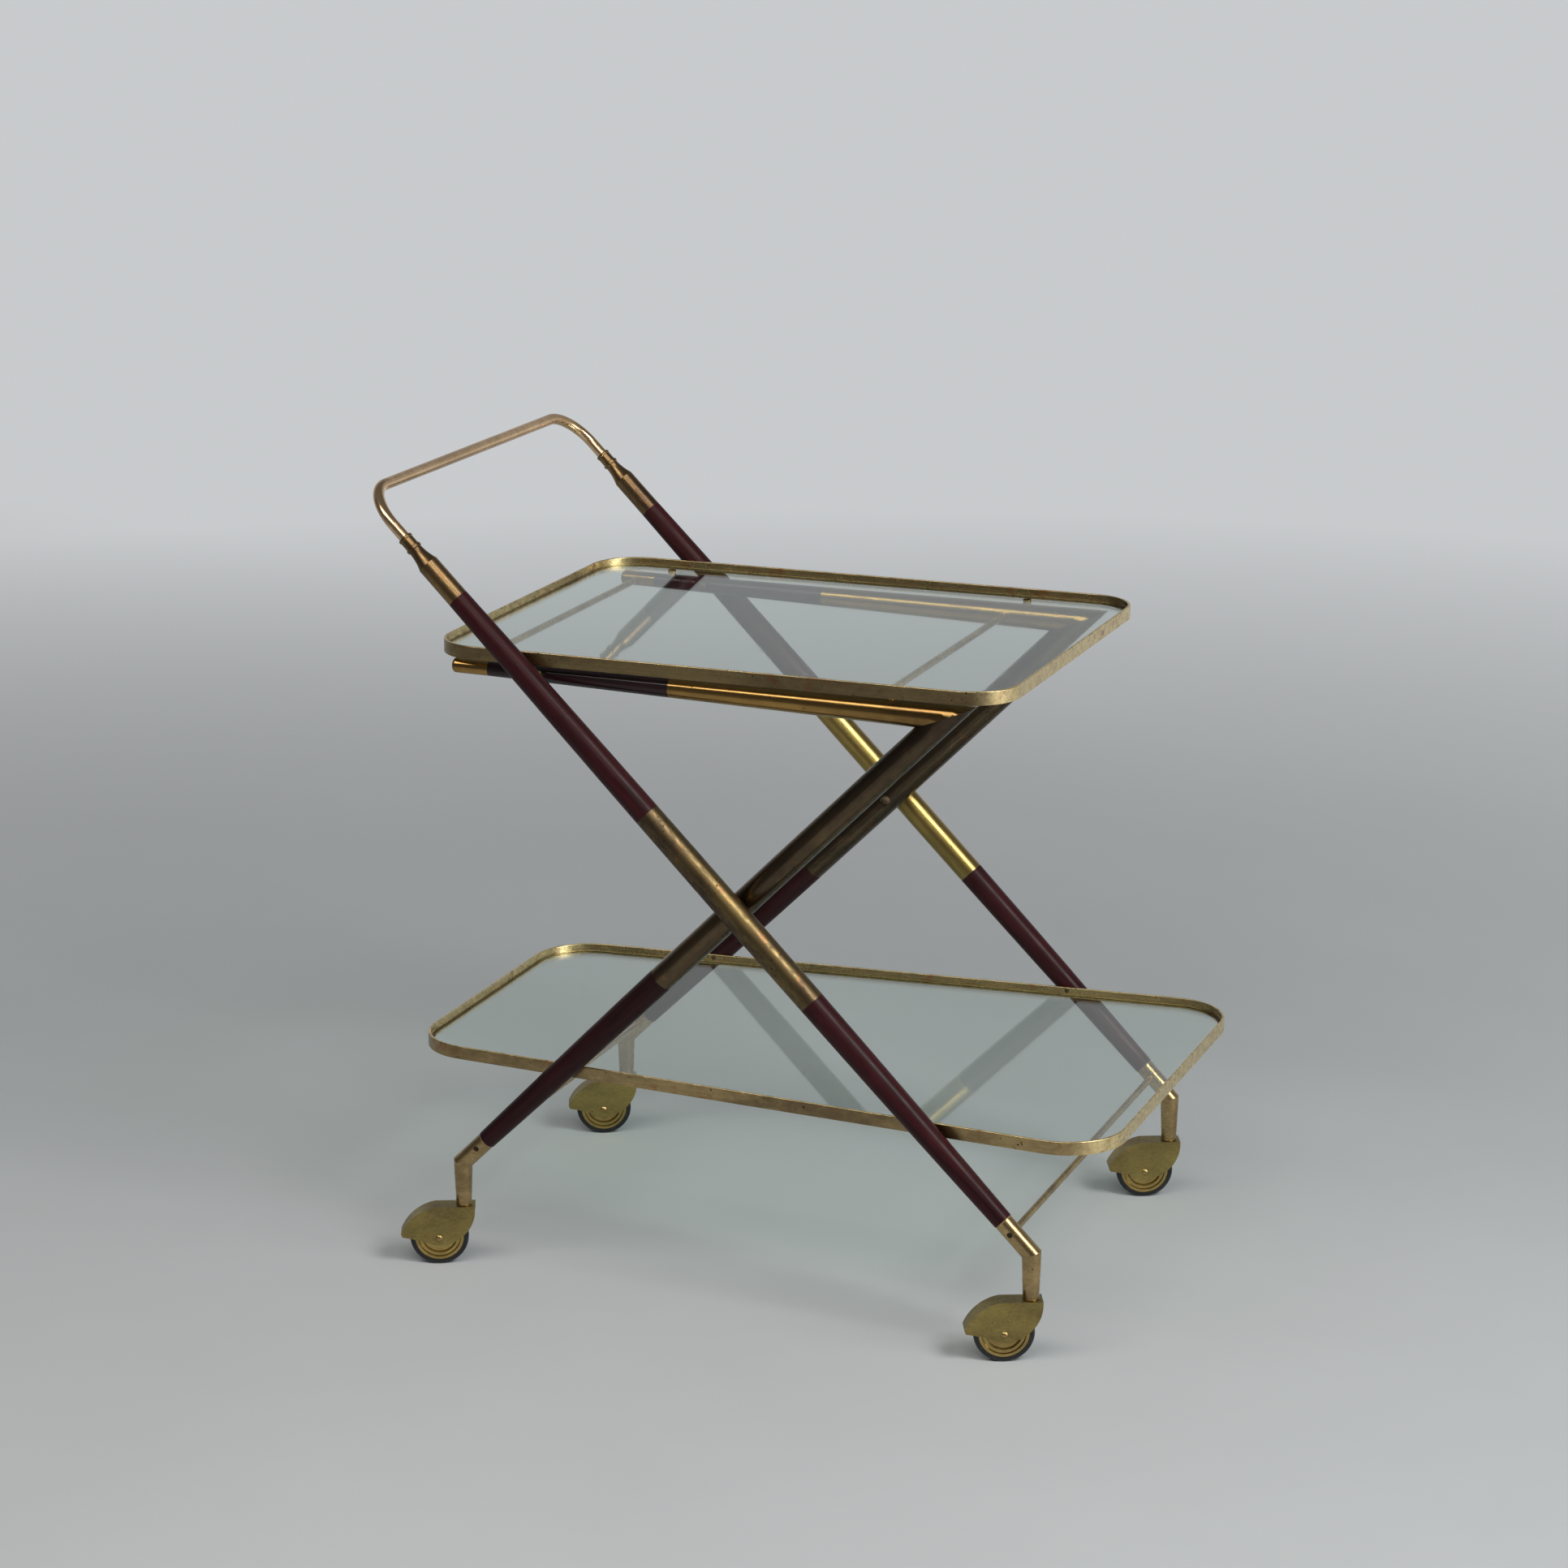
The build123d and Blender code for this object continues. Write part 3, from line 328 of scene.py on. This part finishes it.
def mahogany(name, turn, light=WOOD_LIGHT, dark=WOOD_DARK, coat=DULL_COAT):
    """Very dark mahogany with its grain along the piece."""
    material, tree, shader = new_material(name)
    even = coordinates(tree)
    grain = mark(tree, "wood_grain", coordinates(tree, turn, GRAIN_STRETCH))
    pores = noise(tree, coordinates(tree, turn, PORE_STRETCH), *PORE_NOISE)
    colour = mixed(tree, grain, light, dark)
    colour = mixed(tree, remap(tree, pores, *PORE_RANGE, 0.0, PORE_STRENGTH), colour, WOOD_PORE)
    wear = mark(tree, "wood_wear", even, most=WOOD_WEAR_STRENGTH)
    colour = mixed(tree, wear, colour, toned(light, WOOD_WEAR_TONE))
    tree.links.new(colour, shader.inputs["Base Color"])
    tree.links.new(mark(tree, "wood_smudges", even, *WOOD_ROUGHNESS), shader.inputs["Roughness"])
    shader.inputs["Specular IOR Level"].default_value = WOOD_SPECULAR
    shader.inputs["Coat Weight"].default_value = coat
    shader.inputs["Coat Roughness"].default_value = COAT_ROUGHNESS
    bump(tree, shader, pores, *WOOD_RELIEF)
    return material


def glass():
    """Clear float glass with a faint green body, wiped dust on it, and room for light to pass."""
    material, tree, shader = new_material("tray_glass")
    dust = mark(tree, "glass_dust", coordinates(tree), *GLASS_ROUGHNESS)
    tree.links.new(dust, shader.inputs["Roughness"])
    wiped = mark(tree, "glass_wipes", coordinates(tree, WIPE_TURN, WIPE_STRETCH))
    tree.links.new(mixed(tree, wiped, GLASS_CLEAN, GLASS_DUSTY), shader.inputs["Base Color"])
    shader.inputs["Transmission Weight"].default_value = 1.0
    shader.inputs["IOR"].default_value = GLASS_IOR

    # Light that falls through the pane onto other pieces is only tinted
    ray = tree.nodes.new("ShaderNodeLightPath")
    passing = math_node(tree, "MAXIMUM", ray.outputs["Is Shadow Ray"], ray.outputs["Is Diffuse Ray"])
    clear = tree.nodes.new("ShaderNodeBsdfTransparent")
    clear.inputs["Color"].default_value = GLASS_SHADOW
    either = tree.nodes.new("ShaderNodeMixShader")
    tree.links.new(passing, either.inputs["Fac"])
    tree.links.new(shader.outputs["BSDF"], either.inputs[1])
    tree.links.new(clear.outputs["BSDF"], either.inputs[2])
    output = tree.nodes["Material Output"]
    tree.links.new(either.outputs["Shader"], output.inputs["Surface"])

    body = tree.nodes.new("ShaderNodeVolumeAbsorption")
    body.inputs["Color"].default_value = GLASS_BODY
    body.inputs["Density"].default_value = GLASS_BODY_DENSITY
    tree.links.new(body.outputs["Volume"], output.inputs["Volume"])
    return material


def rubber():
    """Black rubber, greyed a little by dust."""
    material, tree, shader = new_material("tyre_rubber")
    even = coordinates(tree)
    dust = noise(tree, even, *TYRE_DUST_NOISE)
    colour = mixed(tree, remap(tree, dust, *RUBBER_DUST_RANGE), RUBBER_BLACK, RUBBER_DUST)
    tree.links.new(colour, shader.inputs["Base Color"])
    dull = remap(tree, dust, *RUBBER_DULL_RANGE, *RUBBER_ROUGHNESS)
    tree.links.new(dull, shader.inputs["Roughness"])
    bump(tree, shader, noise(tree, even, *TYRE_GRAIN_NOISE), *RUBBER_RELIEF)
    return material


# Finishes: the right side of the cart is the one nearer the camera; its handle-leg sleeve brass is
# rougher, and darker than the left one's as painted shade
materials = {
    # Darker copy of the left sleeve's brass: painted shade
    "shaded_handle_sleeve_right": brass(
        "brass_handle_sleeve_right", (0.205, 0.148, 0.062), (0.07, 0.05, 0.036), ALONG_HANDLE_LEG,
        cloud=30.0, rough=(0.34, 0.48), spots=0.65,
    ),
    "handle_sleeve_left": brass(
        "brass_handle_sleeve_left", (0.40, 0.285, 0.095), (0.23, 0.165, 0.06), ALONG_HANDLE_LEG,
        rough=(0.26, 0.36), spots=0.2, specks=0.7,
    ),
    "ferrule": brass(
        "brass_ferrule", (0.31, 0.20, 0.09), (0.13, 0.082, 0.048), ALONG_HANDLE_LEG,
        cloud=30.0, rough=(0.24, 0.36), specks=0.68,
    ),
    # Very dark brass: painted shade standing in for dark reflections, partly also patina
    "shaded_tray_sleeve": brass(
        "brass_tray_sleeve", (0.15, 0.108, 0.06), (0.066, 0.047, 0.033), ALONG_TRAY_LEG,
        rough=(0.18, 0.28), spots=0.3, specks=0.7,
    ),
    "rail": brass(
        "brass_rail", (0.42, 0.25, 0.08), (0.21, 0.125, 0.045), ALONG_RAIL,
        rough=(0.15, 0.23), spots=0.4, specks=0.68,
    ),
    "handle": brass(
        "brass_handle", (0.94, 0.65, 0.38), (0.68, 0.46, 0.255),
        cloud=16.0, rough=(0.15, 0.26), spots=0.25, specks=0.68,
    ),
    # The band's last, brighter colour is a painted highlight on its upper and forward faces, partly also
    # wear
    "band": brass(
        "brass_band", (0.44, 0.32, 0.15), (0.21, 0.15, 0.08),
        cloud=16.0, rough=(0.24, 0.34), spots=0.75, specks=0.64, highlight_and_wear=(0.95, 0.76, 0.40),
    ),
    "hood": brass(
        "brass_hood", (0.37, 0.29, 0.10), (0.235, 0.18, 0.07),
        cloud=45.0, rough=(0.36, 0.54), spots=0.5, specks=0.67,
    ),
    "wheel": brass(
        "brass_wheel", (0.54, 0.39, 0.14), (0.33, 0.24, 0.09),
        cloud=40.0, rough=(0.16, 0.28), spots=0.15, specks=0.72,
    ),
    "foot": brass(
        "brass_foot", (0.50, 0.355, 0.17), (0.29, 0.205, 0.10),
        cloud=34.0, rough=(0.22, 0.32), spots=0.3, specks=0.69,
    ),
    "plain": brass("brass_plain", (0.60, 0.42, 0.17), (0.34, 0.24, 0.10), cloud=40.0, specks=0.7),
    "screw": brass(
        "brass_screw", (0.10, 0.072, 0.045), (0.05, 0.036, 0.026), cloud=120.0, rough=(0.5, 0.65),
    ),
    "wood_handle_leg": mahogany("mahogany_handle_leg", ALONG_HANDLE_LEG),
    "wood_tray_leg": mahogany("mahogany_tray_leg", ALONG_TRAY_LEG, *TRAY_LEG_WOOD),
    "wood_rail": mahogany("mahogany_rail", ALONG_RAIL, *RAIL_WOOD, POLISHED_COAT),
    "glass": glass(),
    "rubber": rubber(),
}

# Finish of each kind of piece: the first of these words that a node's name holds decides
FINISHES = {
    "glass": "glass",
    "tyre": "rubber",
    "band": "band",
    "caster_hood": "hood",
    "wheel_disc": "wheel",
    "handle_tube": "handle",
    "handle_leg_sleeve_right": "shaded_handle_sleeve_right",
    "handle_leg_sleeve_left": "handle_sleeve_left",
    "handle_ferrule": "ferrule",
    "rail_wood": "wood_rail",
    "wood": "wood",
    "foot": "foot",
    "screws": "screw",
    "bolts": "screw",
    "tray_leg_sleeve": "shaded_tray_sleeve",
    "rail_sleeve": "rail",
    "rail_cap": "rail",
}


def finish_of(name):
    """Finish of a node by its name."""
    for word, finish in FINISHES.items():
        if word in name:
            if finish == "wood":
                return "wood_handle_leg" if name.startswith("handle") else "wood_tray_leg"
            return finish
    return "plain"


for name, node in nodes.items():
    node.data.materials.clear()
    node.data.materials.append(materials[finish_of(name)])


def vector_node(tree, operation, first, second=None):
    """Result of an operation on vector sockets: a value for a dot product, else a vector."""
    node = tree.nodes.new("ShaderNodeVectorMath")
    node.operation = operation
    tree.links.new(first, node.inputs[0])
    if second is not None:
        tree.links.new(second, node.inputs["Scale" if operation == "SCALE" else 1])
    return node.outputs["Value" if operation in ("DOT_PRODUCT", "LENGTH") else "Vector"]


def true_round_group():
    """Nodes that turn nearly radial normals near an axis to exactly radial ones, so that highlights
    run clean along a straight bar."""
    tree = bpy.data.node_groups.new("true_round", "GeometryNodeTree")
    sockets = {
        "Geometry": "NodeSocketGeometry",
        "Point": "NodeSocketVector",
        "Direction": "NodeSocketVector",
        "Reach": "NodeSocketFloat",
    }
    for name, kind in sockets.items():
        tree.interface.new_socket(name, in_out="INPUT", socket_type=kind)
    tree.interface.new_socket("Geometry", in_out="OUTPUT", socket_type="NodeSocketGeometry")
    given = tree.nodes.new("NodeGroupInput")
    place = tree.nodes.new("GeometryNodeInputPosition").outputs["Position"]
    normal = tree.nodes.new("GeometryNodeInputNormal").outputs["Normal"]

    # Way out from the axis
    from_point = vector_node(tree, "SUBTRACT", place, given.outputs["Point"])
    along = vector_node(tree, "DOT_PRODUCT", from_point, given.outputs["Direction"])
    on_axis = vector_node(tree, "SCALE", given.outputs["Direction"], along)
    out = vector_node(tree, "SUBTRACT", from_point, on_axis)
    radial = vector_node(tree, "NORMALIZE", out)
    facing_out = vector_node(tree, "DOT_PRODUCT", radial, normal)

    # Only surfaces that are near the axis and face nearly straight out or in
    close = math_node(tree, "LESS_THAN", vector_node(tree, "LENGTH", out), given.outputs["Reach"])
    nearly = math_node(tree, "GREATER_THAN", math_node(tree, "ABSOLUTE", facing_out, 0.0), NEARLY_RADIAL)
    chosen = tree.nodes.new("GeometryNodeSwitch")
    chosen.input_type = "VECTOR"
    tree.links.new(math_node(tree, "MULTIPLY", close, nearly), chosen.inputs["Switch"])
    tree.links.new(normal, chosen.inputs["False"])
    signed = vector_node(tree, "SCALE", radial, math_node(tree, "SIGN", facing_out, 0.0))
    tree.links.new(signed, chosen.inputs["True"])

    set_normal = tree.nodes.new("GeometryNodeSetMeshNormal")
    set_normal.mode = "FREE"
    set_normal.domain = "CORNER"
    tree.links.new(given.outputs["Geometry"], set_normal.inputs["Mesh"])
    tree.links.new(chosen.outputs["Output"], set_normal.inputs["Custom Normal"])
    result = tree.nodes.new("NodeGroupOutput")
    tree.links.new(set_normal.outputs["Mesh"], result.inputs["Geometry"])
    return tree


true_round = true_round_group()


def middle(name):
    """Centre of a node's box."""
    low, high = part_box(name)
    return (low + high) / 2


def shade_round(name, point, direction, reach):
    """Adds the true round to a node, about an axis through its own middle in y."""
    modifier = nodes[name].modifiers.new("true_round", "NODES")
    modifier.node_group = true_round
    settings = {"Point": (point[0], middle(name).y, point[2]), "Direction": direction, "Reach": reach}
    for item in true_round.interface.items_tree:
        if item.name in settings:
            modifier[item.identifier] = settings[item.name]


def shade_bars():
    """True rounds for the legs, rails, ferrules and feet."""
    crossing = middle("crossing_bosses")
    lean = math.cos(LEG_LEAN)
    mitre = crossing + MITRE_DISTANCE * Vector((lean, 0, lean))
    rail_axis = (mitre, (-math.cos(RAIL_LEAN), 0, math.sin(RAIL_LEAN)))
    axes = {
        "handle_leg": (crossing, (lean, 0, -lean)),
        "handle_ferrule": (crossing, (lean, 0, -lean)),
        "tray_leg": (crossing, (-lean, 0, -lean)),
        "rail_sleeve": rail_axis,
        "rail_wood": rail_axis,
        "rail_cap": rail_axis,
    }
    for name in nodes:
        for start, (point, direction) in axes.items():
            if name.startswith(start):
                shade_round(name, point, direction, FOOT_REACH if "foot" in name else BAR_REACH)
    posts = {"handle_leg_foot": "caster_stem_front", "tray_leg_foot": "caster_stem_rear"}
    for foot, stem in posts.items():
        for side in ("right", "left"):
            shade_round(f"{foot}_{side}", middle(f"{stem}_{side}"), (0, 0, 1), FOOT_REACH)


shade_bars()


def studio_mesh():
    """Round floor whose edge curves up into the wall."""
    profile = [(radius, 0.0) for radius in (*FLOOR_RINGS, FLOOR_RADIUS - WALL_BEND)]
    for step in range(1, SWEEP_STEPS + 1):
        angle = math.pi / 2 * step / SWEEP_STEPS
        profile.append((
            FLOOR_RADIUS - WALL_BEND + WALL_BEND * math.sin(angle),
            WALL_BEND - WALL_BEND * math.cos(angle),
        ))
    profile.append((FLOOR_RADIUS, WALL_HEIGHT))
    shape = bmesh.new()
    centre = shape.verts.new((0, 0, 0))
    rings = []
    for radius, height in profile:
        ring = []
        for step in range(TURN_STEPS):
            angle = math.tau * step / TURN_STEPS
            ring.append(shape.verts.new((radius * math.cos(angle), radius * math.sin(angle), height)))
        rings.append(ring)
    for step in range(TURN_STEPS):
        following = (step + 1) % TURN_STEPS
        shape.faces.new((centre, rings[0][step], rings[0][following]))
        for inner, outer in zip(rings, rings[1:]):
            shape.faces.new((inner[step], outer[step], outer[following], inner[following]))
    mesh = bpy.data.meshes.new("floor")
    shape.to_mesh(mesh)
    shape.free()
    for face in mesh.polygons:
        face.use_smooth = True
    return mesh


def studio_material():
    """Pale mottled floor that turns into a softly glowing backdrop away from the cart."""
    material, tree, shader = new_material("floor")
    place = coordinates(tree)
    mottle = mark(tree, "floor_mottle", place)
    colour = mixed(tree, mottle, FLOOR_COLOUR, toned(FLOOR_COLOUR, FLOOR_MOTTLE_TONE))

    # Distance towards the back of the room, seen from the camera
    parts = tree.nodes.new("ShaderNodeSeparateXYZ")
    tree.links.new(place, parts.inputs["Vector"])
    slant = math_node(tree, "MULTIPLY", parts.outputs["X"], SIDE_SLANT)
    side = math_node(tree, "ADD", parts.outputs["Y"], slant)
    # Painted shade: the floor's colour darkens towards the side the camera stands on
    front = remap(tree, side, *PAINTED_FLOOR_SHADE_RANGE, 1.0 - DARK_SIDE, 0.0)
    colour = mixed(tree, front, colour, PAINTED_SHADE_COLOUR)
    tree.links.new(colour, shader.inputs["Base Color"])
    shader.inputs["Roughness"].default_value = FLOOR_ROUGHNESS
    shader.inputs["Specular IOR Level"].default_value = FLOOR_SPECULAR

    # Glow, seen by the camera and in reflections and glass, which adds no light to the cart
    far = remap(tree, vector_node(tree, "LENGTH", place), BACKDROP_START, BACKDROP_END)
    lit = remap(tree, side, *DARK_WALL_RANGE, DARK_SIDE, 1.0)
    high = remap(tree, parts.outputs["Z"], *HIGH_RANGE, 1.0, HIGH_DIMMING)
    ray = tree.nodes.new("ShaderNodeLightPath")
    seen = math_node(tree, "MAXIMUM", ray.outputs["Is Camera Ray"], ray.outputs["Is Glossy Ray"])
    seen = math_node(tree, "MAXIMUM", seen, ray.outputs["Is Transmission Ray"])
    glow = tree.nodes.new("ShaderNodeEmission")
    glow.inputs["Color"].default_value = BACKDROP_COLOUR
    tree.links.new(math_node(tree, "MULTIPLY", lit, high), glow.inputs["Strength"])
    either = tree.nodes.new("ShaderNodeMixShader")
    tree.links.new(math_node(tree, "MULTIPLY", far, seen), either.inputs["Fac"])
    tree.links.new(shader.outputs["BSDF"], either.inputs[1])
    tree.links.new(glow.outputs["Emission"], either.inputs[2])
    tree.links.new(either.outputs["Shader"], tree.nodes["Material Output"].inputs["Surface"])
    return material


def studio():
    """The floor and wall."""
    mesh = studio_mesh()
    mesh.materials.append(studio_material())
    floor = bpy.data.objects.new("floor", mesh)
    bpy.context.scene.collection.objects.link(floor)


def aimed(name, data, place, target):
    """Lamp or camera at a place, looking at a target."""
    holder = bpy.data.objects.new(name, data)
    holder.location = place
    holder.rotation_euler = (Vector(target) - Vector(place)).to_track_quat("-Z", "Y").to_euler()
    bpy.context.scene.collection.objects.link(holder)
    return holder


def lamp(name, place, target, size, power, colour):
    """Rectangular soft lamp."""
    light = bpy.data.lights.new(name, "AREA")
    light.shape = "RECTANGLE"
    light.size, light.size_y = size
    light.energy = power
    light.color = colour
    aimed(name, light, place, target)


def world():
    """Dim even light from all round."""
    scene_world = bpy.data.worlds.new("world")
    scene_world.use_nodes = True
    background = scene_world.node_tree.nodes["Background"]
    background.inputs["Color"].default_value = WORLD_COLOUR
    background.inputs["Strength"].default_value = WORLD_STRENGTH
    bpy.context.scene.world = scene_world


def camera():
    """Camera where the photograph was taken from."""
    data = bpy.data.cameras.new("camera")
    data.sensor_width = SENSOR_WIDTH
    data.lens = FOCAL_PIXELS / PHOTO_PIXELS * SENSOR_WIDTH
    data.clip_start = NEAR_CLIP
    data.clip_end = FAR_CLIP
    bpy.context.scene.camera = aimed("camera", data, CAMERA_PLACE, CAMERA_TARGET)


studio()
world()
for name, settings in LAMPS.items():
    lamp(name, *settings)
camera()
bpy.context.scene.view_settings.view_transform = "Standard"
